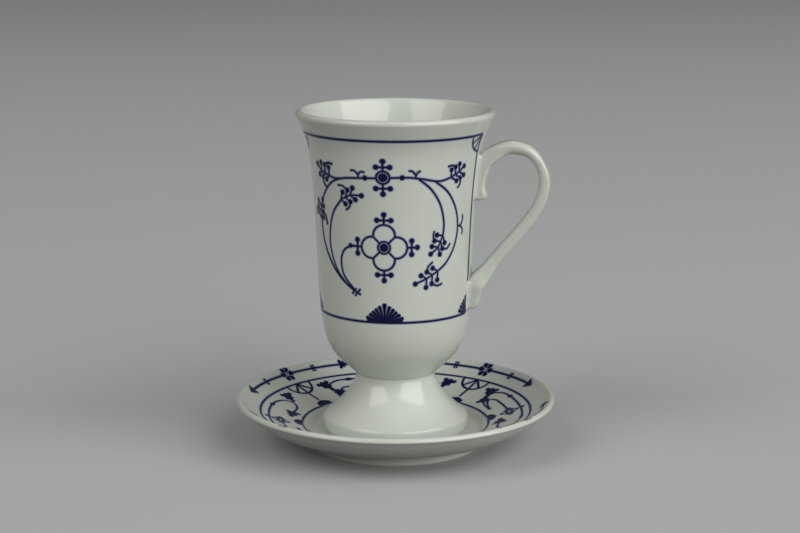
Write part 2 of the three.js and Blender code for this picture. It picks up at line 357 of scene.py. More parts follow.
def revolve(outline):
    """Points and faces of an outline turned about the Z axis. Points on the axis stay single."""
    turn = np.linspace(0.0, 2 * math.pi, TURN_STEPS, endpoint=False)
    points = []
    rows = []
    closed = np.allclose(outline[0], outline[-1])
    for radius, height in outline[:-1] if closed else outline:
        start = len(points)
        if radius < TINY:
            points.append((0.0, 0.0, height))
            rows.append([start] * TURN_STEPS)
            continue
        points.extend(zip(radius * np.cos(turn), radius * np.sin(turn), [height] * TURN_STEPS))
        rows.append(list(range(start, start + TURN_STEPS)))
    if closed:
        rows.append(rows[0])
    faces = []
    for low, high in zip(rows, rows[1:]):
        for step in range(TURN_STEPS):
            after = (step + 1) % TURN_STEPS
            corners = [low[step], low[after], high[after], high[step]]
            faces.append(list(dict.fromkeys(corners)))
    return points, faces


# Materials
PORCELAIN_SHADE = (0.585, 0.617, 0.54)
PORCELAIN_LIGHT = (0.613, 0.641, 0.568)
COBALT_DEEP = (0.002, 0.004, 0.032)
COBALT_LIGHT = (0.004, 0.007, 0.055)
COBALT_BLEED = (0.42, 0.46, 0.56)
CLAY_SHADE = (0.62, 0.60, 0.56)
CLAY_LIGHT = (0.80, 0.79, 0.75)


def glaze(name, colours, specular, coat):
    """Clear gloss glaze over a body whose tint varies softly between two colours."""
    material = bpy.data.materials.new(name)
    material.use_nodes = True
    nodes = material.node_tree.nodes
    links = material.node_tree.links
    shader = nodes["Principled BSDF"]
    place = nodes.new("ShaderNodeTexCoord")
    cloud = nodes.new("ShaderNodeTexNoise")
    cloud.inputs["Scale"].default_value = 45.0
    cloud.inputs["Detail"].default_value = 5.0
    tint = nodes.new("ShaderNodeValToRGB")
    tint.color_ramp.elements[0].position = 0.3
    tint.color_ramp.elements[1].position = 0.7
    tint.color_ramp.elements[0].color = (*colours[0], 1.0)
    tint.color_ramp.elements[1].color = (*colours[1], 1.0)
    gloss = nodes.new("ShaderNodeMapRange")
    gloss.inputs["To Min"].default_value = 0.16
    gloss.inputs["To Max"].default_value = 0.30
    ripple = nodes.new("ShaderNodeTexNoise")
    ripple.inputs["Scale"].default_value = 160.0
    ripple.inputs["Detail"].default_value = 2.0
    wave = nodes.new("ShaderNodeBump")
    wave.inputs["Strength"].default_value = 0.06
    wave.inputs["Distance"].default_value = 0.0004
    for texture in (cloud, ripple):
        links.new(place.outputs["Object"], texture.inputs["Vector"])
    links.new(cloud.outputs["Fac"], tint.inputs["Fac"])
    links.new(tint.outputs["Color"], shader.inputs["Base Color"])
    links.new(cloud.outputs["Fac"], gloss.inputs["Value"])
    links.new(gloss.outputs["Result"], shader.inputs["Roughness"])
    links.new(ripple.outputs["Fac"], wave.inputs["Height"])
    links.new(wave.outputs["Normal"], shader.inputs["Normal"])
    links.new(wave.outputs["Normal"], shader.inputs["Coat Normal"])
    shader.inputs["Specular IOR Level"].default_value = specular
    shader.inputs["Coat Weight"].default_value = coat
    shader.inputs["Coat Roughness"].default_value = 0.04
    shader.inputs["Coat IOR"].default_value = 1.5
    return material


def bled(material, colour):
    """Lets the ink of a stroke run out into a paler colour at its edges."""
    nodes = material.node_tree.nodes
    links = material.node_tree.links
    base = nodes["Principled BSDF"].inputs["Base Color"]
    tint = base.links[0].from_socket
    ink = nodes.new("ShaderNodeAttribute")
    ink.attribute_name = "ink"
    mix = nodes.new("ShaderNodeMix")
    mix.data_type = "RGBA"
    mix.inputs["A"].default_value = (*colour, 1.0)
    links.new(ink.outputs["Fac"], mix.inputs["Factor"])
    links.new(tint, mix.inputs["B"])
    links.new(mix.outputs["Result"], base)
    return material


def biscuit_clay():
    """Bare fired clay of the rings on which the pieces stand in the kiln."""
    material = bpy.data.materials.new("biscuit")
    material.use_nodes = True
    nodes = material.node_tree.nodes
    links = material.node_tree.links
    shader = nodes["Principled BSDF"]
    place = nodes.new("ShaderNodeTexCoord")
    grain = nodes.new("ShaderNodeTexNoise")
    grain.inputs["Scale"].default_value = 900.0
    grain.inputs["Detail"].default_value = 8.0
    tint = nodes.new("ShaderNodeValToRGB")
    tint.color_ramp.elements[0].color = (*CLAY_SHADE, 1.0)
    tint.color_ramp.elements[1].color = (*CLAY_LIGHT, 1.0)
    rough = nodes.new("ShaderNodeBump")
    rough.inputs["Strength"].default_value = 0.4
    rough.inputs["Distance"].default_value = 0.0002
    links.new(place.outputs["Object"], grain.inputs["Vector"])
    links.new(grain.outputs["Fac"], tint.inputs["Fac"])
    links.new(tint.outputs["Color"], shader.inputs["Base Color"])
    links.new(grain.outputs["Fac"], rough.inputs["Height"])
    links.new(rough.outputs["Normal"], shader.inputs["Normal"])
    shader.inputs["Roughness"].default_value = 0.75
    return material


PORCELAIN = glaze("porcelain", (PORCELAIN_SHADE, PORCELAIN_LIGHT), specular=0.3, coat=0.58)
COBALT = bled(glaze("cobalt", (COBALT_DEEP, COBALT_LIGHT), specular=0.1, coat=0.12), COBALT_BLEED)
BISCUIT = biscuit_clay()


# Bowl, foot and saucer
def make_turned(name, outline, body):
    """Lathe-turned piece that stands for the node of that name."""
    points, faces = revolve(outline)
    piece = make_piece(name + "_glazed", points, faces, body, [PORCELAIN, BISCUIT])
    piece.data.set_sharp_from_angle(angle=SHARP_EDGE)
    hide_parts(name)
    return piece


def bare_ring(piece, low, outside):
    """Gives the bare clay to the faces of a standing ring, which lie below a height and within a radius."""
    for face in piece.data.polygons:
        centre = face.center / MM
        if centre.z < low and math.hypot(centre.x, centre.y) < outside:
            face.material_index = 1


make_turned("cup_bowl", bowl_outline(), "cup")
foot = make_turned("cup_foot", foot_outline(), "cup")
saucer = make_turned("saucer", saucer_outline(), "saucer")
bare_ring(foot, CUP_BASE + BARE_HEIGHT, FOOT_RADIUS)
bare_ring(saucer, RING_EDGE / 2, RING_OUTSIDE)

# Handle
# Each station of the strap, from the wall over the crest to the tail, gives the place of its middle along X
# and Z, its half thickness, its half width, how far from the inner edge its sides start to bow inwards,
# and the rounding of its outer edge.
STRAP = (
    (35.3, 122.4, 3.0, 5.6, 0.6, 1.4),
    (39.2, 126.9, 3.3, 5.3, 1.0, 1.9),
    (42.3, 129.35, 3.45, 5.0, 1.6, 2.5),
    (47.3, 132.0, 3.0, 4.65, 2.7, 3.2),
    (51.4, 132.55, 2.9, 4.5, 3.2, 3.4),
    (57.9, 130.7, 2.55, 4.5, 3.1, 3.0),
    (62.3, 125.95, 2.25, 4.5, 2.8, 2.0),
    (64.45, 118.7, 2.4, 4.5, 2.8, 1.2),
    (62.55, 109.0, 2.52, 4.5, 2.9, 1.1),
    (56.62, 99.55, 2.62, 4.5, 3.0, 1.1),
    (46.9, 87.95, 2.65, 4.5, 3.0, 1.1),
    (43.0, 83.05, 2.75, 4.7, 2.8, 1.1),
    (39.85, 78.45, 3.2, 5.4, 2.2, 1.6),
    (36.1, 73.4, 3.85, 7.0, 1.0, 2.6),
    (34.9, 68.3, 3.1, 6.6, 0.6, 2.8),
    (34.0, 62.0, 2.3, 6.0, 0.6, 2.8),
)

# The lug branches off under the crest, lies down the wall and ends in a small spur.
LUG = (
    (44.0, 130.5, 2.4, 4.9, 1.4, 1.2),
    (40.6, 127.4, 2.4, 5.1, 1.2, 1.2),
    (38.3, 123.0, 2.7, 5.3, 1.0, 1.2),
    (37.4, 118.5, 2.15, 5.4, 0.9, 1.2),
    (37.25, 114.9, 2.2, 5.5, 0.9, 1.2),
    (37.4, 112.5, 2.7, 5.5, 0.9, 1.2),
    (37.8, 110.0, 2.6, 5.5, 0.9, 1.2),
)
STRAP_INSIDE = 1
LUG_INSIDE = -1
LIMB_BLEND = 1.2
CORNER_BLEND = 0.5
WALL_BLEND = 2.8
BLEND_TURN = 2.0
TAIL_ROUND = 3.2
SPUR_ROUND = 1.8
STRAP_ROUND = 0.8
LUG_ROUND = 2.0
BOW = 1.06
WALL_SINK = 0.25
SKIRT_SINK = 0.03
SKIRT_REACH = 1.4 * WALL_BLEND
HANDLE_MARGIN = 5.0
PATH_STEP = 0.25
RELAX_ROUNDS = 4
RELAX_SHARES = (0.5, -0.52)


def smooth_path(points, step):
    """Evenly spaced points on a smooth curve through the given ones. Further columns follow along it."""
    knots = np.array(points, float)
    dense = knots
    if len(knots) > 2:
        padded = np.vstack([2 * knots[0] - knots[1], knots, 2 * knots[-1] - knots[-2]])
        runs = []
        for index in range(len(knots) - 1):
            a, b, c, d = padded[index:index + 4]
            gaps = [math.sqrt(np.linalg.norm((q - p)[:2])) for p, q in ((a, b), (b, c), (c, d))]
            pull = (b - a) / gaps[0] - (c - a) / (gaps[0] + gaps[1]) + (c - b) / gaps[1]
            push = (c - b) / gaps[1] - (d - b) / (gaps[1] + gaps[2]) + (d - c) / gaps[2]
            run = bezier(b, b + pull * gaps[1] / 3, c - push * gaps[1] / 3, c)
            runs.append(run if index == 0 else run[1:])
        dense = np.vstack(runs)
    lengths = np.linalg.norm(np.diff(dense[:, :2], axis=0), axis=1)
    along = np.concatenate([[0.0], np.cumsum(lengths)])
    count = max(int(round(along[-1] / step)), 2)
    places = np.linspace(0.0, along[-1], count + 1)
    return np.column_stack([np.interp(places, along, dense[:, k]) for k in range(dense.shape[1])])


def limb_plan(stations, inside, inner_round, end_round, xs, zs):
    """Side view of a limb at each place in XZ: distance to its outline, half width, bow and edge."""
    path = smooth_path(stations, PATH_STEP)
    plane = np.stack(np.meshgrid(xs, zs, indexing="ij"), -1)
    offsets = plane[:, :, None, :] - path[None, None, :, :2]
    nearest = np.argmin((offsets ** 2).sum(-1), axis=2)
    tangents = np.gradient(path[:, :2], axis=0)
    tangents /= np.linalg.norm(tangents, axis=1)[:, None]
    near = path[nearest]
    along = tangents[nearest]
    apart = plane - near[:, :, :2]
    gaps = np.linalg.norm(np.diff(path[:, :2], axis=0), axis=1)
    reached = np.concatenate([[0.0], np.cumsum(gaps)])[nearest] + (apart * along).sum(-1)
    past = np.maximum(-reached, reached - gaps.sum())
    aside = apart[:, :, 0] * along[:, :, 1] - apart[:, :, 1] * along[:, :, 0]
    thick, half, depth, outer_round = np.moveaxis(near[:, :, 2:], 2, 0)
    outline = rounded_both(np.abs(aside) - thick, past, end_round)
    inward = inside * aside
    inner = np.clip(0.5 + inward / thick, 0.0, 1.0)
    bowed = depth - thick + inward
    edge = outer_round + inner * (inner_round - outer_round)
    return outline, half, depth, bowed, edge


def blended(one, other, reach):
    """Union of two distance fields with a round fillet between them."""
    mix = np.clip(0.5 + 0.5 * (other - one) / reach, 0.0, 1.0)
    return other * (1.0 - mix) + one * mix - reach * mix * (1.0 - mix)


def rounded_both(one, other, reach):
    """Common part of two distance fields with its edge rounded."""
    return -blended(-one, -other, reach)


def limbs_field(xs, ys, zs):
    """Rough distance to the strap and its lug, whose sides bow inwards, and a share that is 1 beside them."""
    strap, *strap_traits = limb_plan(STRAP, STRAP_INSIDE, STRAP_ROUND, TAIL_ROUND, xs, zs)
    lug, *lug_traits = limb_plan(LUG, LUG_INSIDE, LUG_ROUND, SPUR_ROUND, xs, zs)
    outline = blended(strap, lug, LIMB_BLEND)
    share = np.clip(0.5 + 0.5 * (lug - strap) / LIMB_BLEND, 0.0, 1.0)
    half, depth, bowed, edge = (share * a + (1.0 - share) * b for a, b in zip(strap_traits, lug_traits))
    arc = BOW * depth
    steep = 1.0 / math.sqrt(BOW ** 2 - 1.0)
    within = np.clip(bowed, 0.0, depth)
    cut = arc - np.sqrt(arc ** 2 - within ** 2) + steep * np.maximum(bowed - depth, 0.0)
    side = np.abs(ys)[None, :, None] - (half - cut)[:, None, :]
    above = np.broadcast_to(outline[:, None, :], side.shape)
    past = np.abs(ys)[None, :, None] - half[:, None, :] - above
    beside = np.clip(0.5 + 0.5 * past / BLEND_TURN, 0.0, 1.0)
    return rounded_both(above, side, edge[:, None, :]), beside


def skin(field, origin, cell):
    """Closed mesh of four-sided faces where a gridded field changes sign, one point in each crossed cell."""
    inside = field < 0.0
    corners = [(i, j, k) for i in (0, 1) for j in (0, 1) for k in (0, 1)]
    size = tuple(n - 1 for n in field.shape)
    values = [field[i:i + size[0], j:j + size[1], k:k + size[2]] for i, j, k in corners]
    marks = np.stack([v < 0.0 for v in values])
    crossed = marks.any(0) & ~marks.all(0)
    cells = np.argwhere(crossed)
    number = -np.ones(size, int)
    number[crossed] = np.arange(len(cells))
    here = [v[crossed] for v in values]
    total = np.zeros((len(cells), 3))
    count = np.zeros(len(cells))
    for a in range(8):
        for axis in range(3):
            b = a + (4, 2, 1)[axis]
            if corners[a][axis] == 1:
                continue
            cut = (here[a] < 0.0) != (here[b] < 0.0)
            share = np.where(cut, here[a] / np.where(cut, here[a] - here[b], 1.0), 0.0)
            for k in range(3):
                total[:, k] += cut * (corners[a][k] + (share if k == axis else 0.0))
            count += cut
    points = np.array(origin) + cell * (cells + total / count[:, None])
    faces = []
    for axis in range(3):
        first, second = [k for k in range(3) if k != axis]
        low = [slice(None)] * 3
        high = [slice(None)] * 3
        low[axis] = slice(0, -1)
        high[axis] = slice(1, None)
        changes = np.argwhere(inside[tuple(low)] != inside[tuple(high)])
        for edge in changes:
            ring = []
            for da, db in ((0, 0), (-1, 0), (-1, -1), (0, -1)):
                spot = edge.copy()
                spot[first] += da
                spot[second] += db
                ring.append(int(number[tuple(spot)]))
            outward = inside[tuple(edge)] == (axis != 1)
            faces.append(ring if outward else ring[::-1])
    return points, faces


def relaxed(points, faces):
    """Evens out the steps of the grid by moving each point towards the middle of its neighbours."""
    pairs = np.array([(face[k], face[(k + 1) % 4]) for face in faces for k in range(4)])
    for _ in range(RELAX_ROUNDS):
        for share in RELAX_SHARES:
            total = np.zeros_like(points)
            count = np.zeros(len(points))
            np.add.at(total, pairs[:, 0], points[pairs[:, 1]])
            np.add.at(count, pairs[:, 0], 1)
            np.add.at(total, pairs[:, 1], points[pairs[:, 0]])
            np.add.at(count, pairs[:, 1], 1)
            points = points + share * (total / count[:, None] - points)
    return points


def make_handle():
    """Skin of the strap and its lug, with a skirt that runs out just under the surface of the wall."""
    low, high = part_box("cup_handle")
    xs, ys, zs = (
        np.arange(start / MM - HANDLE_MARGIN, end / MM + HANDLE_MARGIN, HANDLE_CELL)
        for start, end in zip(low, high)
    )
    limbs, beside = limbs_field(xs, ys, zs)
    reach = np.hypot(xs[:, None], ys[None, :])
    wall_radius = np.interp(zs, BOWL_OUTSIDE[:, 1], BOWL_OUTSIDE[:, 0])
    wall_steep = np.interp(zs, BOWL_OUTSIDE[:, 1], BOWL_NORMALS[:, 0])
    wall = (reach[:, :, None] - wall_radius[None, None, :]) * wall_steep[None, None, :]
    fillet = CORNER_BLEND + (WALL_BLEND - CORNER_BLEND) * beside ** 2 * (3.0 - 2.0 * beside)
    joined = blended(limbs, wall + SKIRT_SINK, fillet)
    body = np.maximum(np.maximum(joined, -(wall + WALL_SINK)), limbs - SKIRT_REACH)
    points, faces = skin(body, (xs[0], ys[0], zs[0]), HANDLE_CELL)
    points = relaxed(points, faces)
    piece = make_piece("cup_handle_glazed", points, faces, "cup", [PORCELAIN])
    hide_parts("cup_handle")


make_handle()


# Decoration under the glaze
class Brush:
    """Collects thin strokes on a surface, which turns two coordinates into a place and a normal."""

    def __init__(self, surface):
        self.surface = surface
        self.points = []
        self.normals = []
        self.inks = []
        self.faces = []

    def put(self, spot, lift, ink):
        """Adds a point on the surface with the strength of its ink."""
        place, normal = self.surface(spot[0], spot[1])
        self.points.append(place + normal * lift)
        self.normals.append(normal)
        self.inks.append(ink)
        return len(self.points) - 1

    def band(self, path, halves, closed=False):
        """Thin solid strip along a path, with a half width at each of its points and a paler halo."""
        ahead = np.roll(path, -1, axis=0) - np.roll(path, 1, axis=0)
        if not closed:
            ahead = np.gradient(path, axis=0)
        ahead /= np.linalg.norm(ahead, axis=1)[:, None]
        aside = np.column_stack([-ahead[:, 1], ahead[:, 0]])
        rows = []
        for spot, normal, half in zip(path, aside, halves):
            outer = half + HALO
            core = max(half - INK_EDGE, half / 3)
            steps = (
                (outer, -PRINT_SINK, 0.0),
                (outer - PRINT_EDGE, HALO_LIFT, 0.0),
                (half, EDGE_LIFT, EDGE_INK),
                (core, PRINT_LIFT, 1.0),
            )
            near = [self.put(spot + normal * reach, lift, ink) for reach, lift, ink in steps]
            far = [self.put(spot - normal * reach, lift, ink) for reach, lift, ink in steps[::-1]]
            rows.append(near + far)
        pairs = list(zip(rows, rows[1:]))
        if closed:
            pairs.append((rows[-1], rows[0]))
        for here, after in pairs:
            for k in range(len(here)):
                m = (k + 1) % len(here)
                self.faces.append([here[k], here[m], after[m], after[k]])
        if not closed:
            self.faces.append(rows[0][::-1])
            self.faces.append(rows[-1])

    def stroke(self, points, width=LINE):
        """Line of even width with round ends."""
        path = smooth_path(points, STROKE_STEP)
        half = width / 2
        far = np.minimum(np.arange(len(path)), np.arange(len(path))[::-1]) * STROKE_STEP
        ends = np.clip((half - far) / half, 0.0, END_TAPER)
        self.band(path, half * np.sqrt(1.0 - ends ** 2))

    def swell(self, start, end, width, belly):
        """Small leaf: narrow at its start, widest at the share belly of its length, blunt at its end."""
        start = np.array(start, float)
        end = np.array(end, float)
        share = np.linspace(0.0, 1.0, SWELL_STEPS + 1)
        path = start + share[:, None] * (end - start)
        rising = np.sin(0.5 * math.pi * np.clip(share / belly, 0.0, 1.0))
        falling = np.sqrt(np.clip(1.0 - (share - belly) / (1.0 - belly), 0.0, 1.0))
        shape = np.where(share < belly, rising, falling)
        self.band(path, 0.5 * width * np.maximum(shape, LEAF_TIP))

    def ring(self, centre, radius, width=LINE, first=0.0, last=2 * math.pi):
        """Circle, or an arc of it."""
        closed = last - first > 2 * math.pi - TINY
        count = max(int((last - first) * radius / STROKE_STEP), ARC_STEPS)
        turn = np.linspace(first, last, count, endpoint=not closed)
        path = np.array(centre, float) + radius * np.column_stack([np.cos(turn), np.sin(turn)])
        self.band(path, np.full(len(path), width / 2), closed)

    def drop(self, start, end, width):
        """Rib that widens from its start to a round end."""
        start = np.array(start, float)
        end = np.array(end, float)
        half = width / 2
        long = np.linalg.norm(end - start)
        straight = np.linspace(0.0, long - half, RIB_STEPS + 1)
        turn = np.linspace(0.0, 0.5 * math.pi, RIB_STEPS)[1:]
        reach = np.concatenate([straight, long - half + half * np.sin(turn)])
        grown = RIB_FOOT + (1.0 - RIB_FOOT) * straight / (long - half)
        halves = half * np.concatenate([grown, np.maximum(np.cos(turn), RIB_TIP)])
        self.band(start + (reach / long)[:, None] * (end - start), halves)

    def patch(self, outline):
        """Filled shape with a paler halo, given by its outline in order."""
        outline = np.array(outline, float)
        centre = outline.mean(axis=0)
        rays = outline - centre
        longest = np.linalg.norm(rays, axis=1).max()
        outer = 1.0 + HALO / longest
        core = 1.0 - INK_EDGE / longest
        steps = (
            (outer, -PRINT_SINK, 0.0),
            (outer - PRINT_EDGE / longest, HALO_LIFT, 0.0),
            (1.0, EDGE_LIFT, EDGE_INK),
            (core, PRINT_LIFT, 1.0),
            (core / 2, PRINT_LIFT, 1.0),
        )
        rings = []
        for share, lift, ink in steps:
            rings.append([self.put(centre + share * ray, lift, ink) for ray in rays])
        middle = self.put(centre, PRINT_LIFT, 1.0)
        count = len(outline)
        for k in range(count):
            m = (k + 1) % count
            for outer, inner in zip(rings, rings[1:]):
                self.faces.append([outer[k], outer[m], inner[m], inner[k]])
            self.faces.append([rings[-1][k], rings[-1][m], middle])
        self.faces.append(rings[0][::-1])

    def ball(self, centre, radius=BALL):
        """Round dot."""
        turn = np.linspace(0.0, 2 * math.pi, BALL_STEPS, endpoint=False)
        self.patch(np.array(centre, float) + radius * np.column_stack([np.cos(turn), np.sin(turn)]))

    def leaf(self, corners, size=1.0):
        """Three-lobed leaf: hollow sides between round corners, the corners given anticlockwise."""
        corners = np.array(corners, float)
        centre = corners.mean(axis=0)
        outline = []
        for here, after in zip(corners, np.roll(corners, -1, axis=0)):
            waist = (here + after) / 2
            hollow = waist + LEAF_HOLLOW * (centre - waist)
            for share in np.linspace(0.0, 1.0, LEAF_STEPS, endpoint=False):
                rest = 1.0 - share
                outline.append(rest ** 2 * here + 2 * rest * share * hollow + share ** 2 * after)
            self.ball(here + LOBE_INSET * (centre - here), LEAF_LOBE * size)
            self.ball(waist, SIDE_LOBE * size)
        self.patch(outline)

    def finish(self, name, body):
        """Makes one piece of all the strokes, shaded as the surface that they lie on."""
        piece = make_piece(name, self.points, self.faces, body, [COBALT])
        piece.data.normals_split_custom_set_from_vertices([tuple(n) for n in self.normals])
        ink = piece.data.attributes.new("ink", "FLOAT", "POINT")
        ink.data.foreach_set("value", self.inks)


def panel_surface(facing):
    """Outside of the bowl, by arc from the middle of a panel and by height."""
    def surface(arc, height):
        turn = facing + arc / PANEL_RADIUS
        radius = np.interp(height, BOWL_OUTSIDE[:, 1], BOWL_OUTSIDE[:, 0])
        out = np.interp(height, BOWL_OUTSIDE[:, 1], BOWL_NORMALS[:, 0])
        up = np.interp(height, BOWL_OUTSIDE[:, 1], BOWL_NORMALS[:, 1])
        place = np.array([radius * math.cos(turn), radius * math.sin(turn), height])
        return place, np.array([out * math.cos(turn), out * math.sin(turn), up])
    return surface


def saucer_surface(facing):
    """Upper face of the saucer, by distance aside of a ray from the axis and along it."""
    ray = np.array([math.cos(facing), math.sin(facing)])
    side = np.array([math.sin(facing), -math.cos(facing)])

    def surface(aside, along):
        plan = ray * along + side * aside
        radius = math.hypot(aside, along)
        height = np.interp(radius, SAUCER_TOP[:, 0], SAUCER_TOP[:, 1])
        out = np.interp(radius, SAUCER_TOP[:, 0], SAUCER_NORMALS[:, 0])
        up = np.interp(radius, SAUCER_TOP[:, 0], SAUCER_NORMALS[:, 1])
        place = np.array([plan[0], plan[1], height])
        return place, np.array([*(plan / radius * out), up])
    return surface


def tassel(brush, centre, angle, neck, bar, bar_half, tip, tip_ball=TASSEL_BALL):
    """Short stalk with a crossbar that ends in dots, and a dot at its tip."""
    out = direction(angle)
    side = np.array([-out[1], out[0]])
    centre = np.array(centre, float)
    brush.stroke([centre + out * neck, centre + out * tip], FRAME_LINE)
    cross = centre + out * bar
    brush.stroke([cross - side * bar_half, cross + side * bar_half], FRAME_LINE)
    for sign in (-1, 1):
        brush.ball(cross + side * sign * bar_half, TASSEL_BALL)
    brush.ball(centre + out * tip, tip_ball)


def direction(angle):
    """Unit vector at an angle."""
    return np.array([math.cos(angle), math.sin(angle)])


def spray(brush, first, last, tip, long_arm, short_arm, curls, twig=THIN_LINE, berry=BALL):
    """Three pairs of berries along a twig, a berry at its tip, and a tendril on each side."""
    first = np.array(first, float)
    last = np.array(last, float)
    middle = (first + last) / 2
    brush.stroke([first, middle, last, tip], twig)
    for node in (first, middle, last):
        for arm in (long_arm, short_arm):
            brush.stroke([node, node + np.array(arm)], twig)
            brush.ball(node + np.array(arm), berry)
    brush.ball(tip, berry)
    for arm, (elbow, end) in zip((long_arm, short_arm), curls):
        brush.stroke([middle + np.array(arm), elbow, end], twig)


def fan(brush, centre, angles, lengths, width, heart):
    """Ribs with round ends that spread from a dark heart."""
    centre = np.array(centre, float)
    for angle, length in zip(angles, lengths):
        brush.drop(centre, centre + direction(angle) * length, width)
        brush.drop(centre, centre + direction(angle) * heart, width)


def paint_frame(brush):
    """Frame lines of a panel, with a quarter wheel in its upper corners and a fan in its lower ones."""
    wheel = 7.3
    rib_turns = np.radians([3, 15, 30, 45, 59, 74, 88])
    rib_lengths = (6.0, 8.4, 7.9, 7.5, 7.6, 8.3, 9.2)
    for height in (PANEL_TOP, PANEL_LOW):
        brush.stroke([(-PANEL_EDGE, height), (PANEL_EDGE, height)], FRAME_LINE)
    for sign in (-1, 1):
        corner = np.array([sign * PANEL_EDGE, PANEL_TOP])
        foot_corner = np.array([sign * PANEL_EDGE, PANEL_LOW])
        brush.stroke([corner, foot_corner], SIDE_LINE)
        inward = math.pi if sign > 0 else 1.5 * math.pi
        brush.ring(corner, wheel, LINE, inward, inward + math.pi / 2)
        for share in (1 / 3, 2 / 3):
            brush.stroke([corner, corner + wheel * direction(inward + share * math.pi / 2)])
        turns = rib_turns if sign < 0 else math.pi - rib_turns
        fan(brush, foot_corner, turns, rib_lengths, CORNER_RIB, FAN_HEART)


def paint_middle_fan(brush):
    """Fan on the lower frame line, in the middle of a panel."""
    centre = (0.3, PANEL_LOW)
    spread = np.radians([0, 18, 34, 49, 63, 76, 84])
    lengths = (8.6, 7.8, 7.5, 7.5, 8.0, 8.8, 8.2)
    for sign in (1, -1):
        fan(brush, centre, math.pi / 2 + sign * spread, lengths, FAN_RIB, FAN_HEART)


def paint_rosette(brush):
    """Rosette in the middle of the upper vine, with a tassel above and below and a dot on each side."""
    centre = (0.15, 123.85)
    ring = 2.65
    heart = 1.95
    brush.ring(centre, ring, FRAME_LINE)
    brush.ball(centre, heart)
    tassel(brush, centre, math.pi / 2, neck=ring, bar=4.4, bar_half=2.7, tip=6.9)
    tassel(brush, centre, -math.pi / 2, neck=ring, bar=4.65, bar_half=2.9, tip=7.0)
    brush.ball((-7.15, 123.45))
    brush.ball((7.75, 123.85))


def paint_vines(brush):
    """Vines of a panel from left to right, with their tendrils and the tie at their foot."""
    edge_vine = 1.15
    brush.stroke([
        (-2.45, 123.55), (-9.75, 123.25), (-17.75, 122.45), (-23.25, 120.45),
        (-28.15, 116.15), (-31.55, 111.55),
    ])
    brush.stroke([(-17.25, 122.45), (-21.75, 122.15), (-24.75, 122.85)])
    brush.stroke([
        (2.85, 123.75), (10.15, 123.85), (15.65, 123.05), (22.55, 121.65), (25.05, 121.75), (29.05, 122.75),
    ])
    brush.stroke([(14.15, 123.35), (20.05, 118.15), (24.55, 111.25), (26.65, 103.15), (26.35, 98.05)])
    brush.stroke([
        (21.55, 121.65), (28.05, 116.45), (33.25, 108.15), (34.75, 100.25), (32.95, 92.55),
        (28.55, 86.2), (24.25, 83),
    ])
    brush.stroke([(-10.05, 123.25), (-10.05, 124.45), (-11.75, 126.35), (-13.55, 126.15)], THIN_LINE)
    brush.stroke([(-10.05, 124.25), (-9.55, 125.45), (-8.35, 126.05), (-6.95, 125.75)], THIN_LINE)
    brush.stroke([(13.15, 123.55), (13.15, 124.75), (11.35, 126.65), (10.05, 126.55)], THIN_LINE)
    brush.stroke([(13.15, 124.35), (13.65, 125.45), (14.35, 126.25), (15.25, 126.45)], THIN_LINE)
    brush.stroke([
        (34.65, 101.25), (35.95, 101.15), (37.25, 101.95), (38.05, 103.75), (37.65, 105.95),
    ], THIN_LINE)
    brush.stroke([(35.95, 101.15), (37.35, 100.45), (38.25, 98.95), (37.95, 96.95)], THIN_LINE)
    brush.stroke([
        (-18.4, 113.75), (-24.15, 106.75), (-26.95, 97.25), (-26.45, 90.35), (-22.55, 82.1),
        (-16.25, 76.3), (-10.25, 72.9),
    ])
    brush.stroke([
        (-33.55, 104.0), (-32.05, 94.35), (-26.95, 85.7), (-20.75, 79.5), (-15.25, 75.7),
    ], edge_vine)
    brush.stroke([(-14.95, 93.95), (-18.35, 91.65), (-20.15, 87.6), (-19.15, 81.2), (-13.25, 74.7)])
    brush.stroke([(-14.85, 73), (-12.45, 75.8)])
    brush.stroke([(-13.45, 72.2), (-10.45, 75.7)])


def paint_sprays(brush):
    """Sprays of berries at the ends of the vines. Those near the edges of a panel are drawn heavier."""
    spray(
        brush, first=(24.25, 83), last=(18.85, 80.2), tip=(13.75, 78.2),
        long_arm=(-0.2, -3.8), short_arm=(-2.6, 1.45),
        curls=(((24.05, 76.7), (26.95, 77.4)), ((19.45, 85.2), (21.75, 87.3))),
    )
    spray(
        brush, first=(26.35, 98.05), last=(24.05, 93.35), tip=(20.55, 90.65),
        long_arm=(-3.0, 0.5), short_arm=(1.0, -3.2),
        curls=(((21.65, 98.15), (22.05, 100.65)), ((28.65, 92.25), (30.65, 94.45))),
    )
    spray(
        brush, first=(-19.05, 113.35), last=(-14.15, 115.55), tip=(-8.95, 115.75),
        long_arm=(1.2, 3.2), short_arm=(2.4, -1.7),
        curls=(((-17.75, 119.25), (-20.55, 119.35)), ((-14.75, 110.55), (-16.75, 108.95))),
    )
    spray(
        brush, first=(-24.75, 122.85), last=(-29.75, 124.35), tip=(-32.95, 126.95),
        long_arm=(-0.1, 3.5), short_arm=(-2.1, -1.8),
        curls=(((-24.75, 128.25), (-22.05, 127.95)), ((-28.95, 119.25), (-27.05, 117.55))),
        twig=1.1, berry=1.2,
    )
    spray(
        brush, first=(29.05, 122.75), last=(33.25, 124.75), tip=(36.15, 126.75),
        long_arm=(0.0, 3.2), short_arm=(3.25, -1.85),
        curls=(((29.35, 127.75), (26.85, 127.45)), ((34.55, 119.55), (32.95, 117.55))),
        twig=0.92, berry=1.12,
    )
    spray(
        brush, first=(-33.55, 103.25), last=(-32.85, 108.25), tip=(-31.55, 111.55),
        long_arm=(-3.1, 2.5), short_arm=(1.8, 0.55),
        curls=(((-38.8, 106.4), (-39.3, 104.3)), ((-29.5, 104.5), (-28.5, 101.0))),
        twig=1.3, berry=1.22,
    )


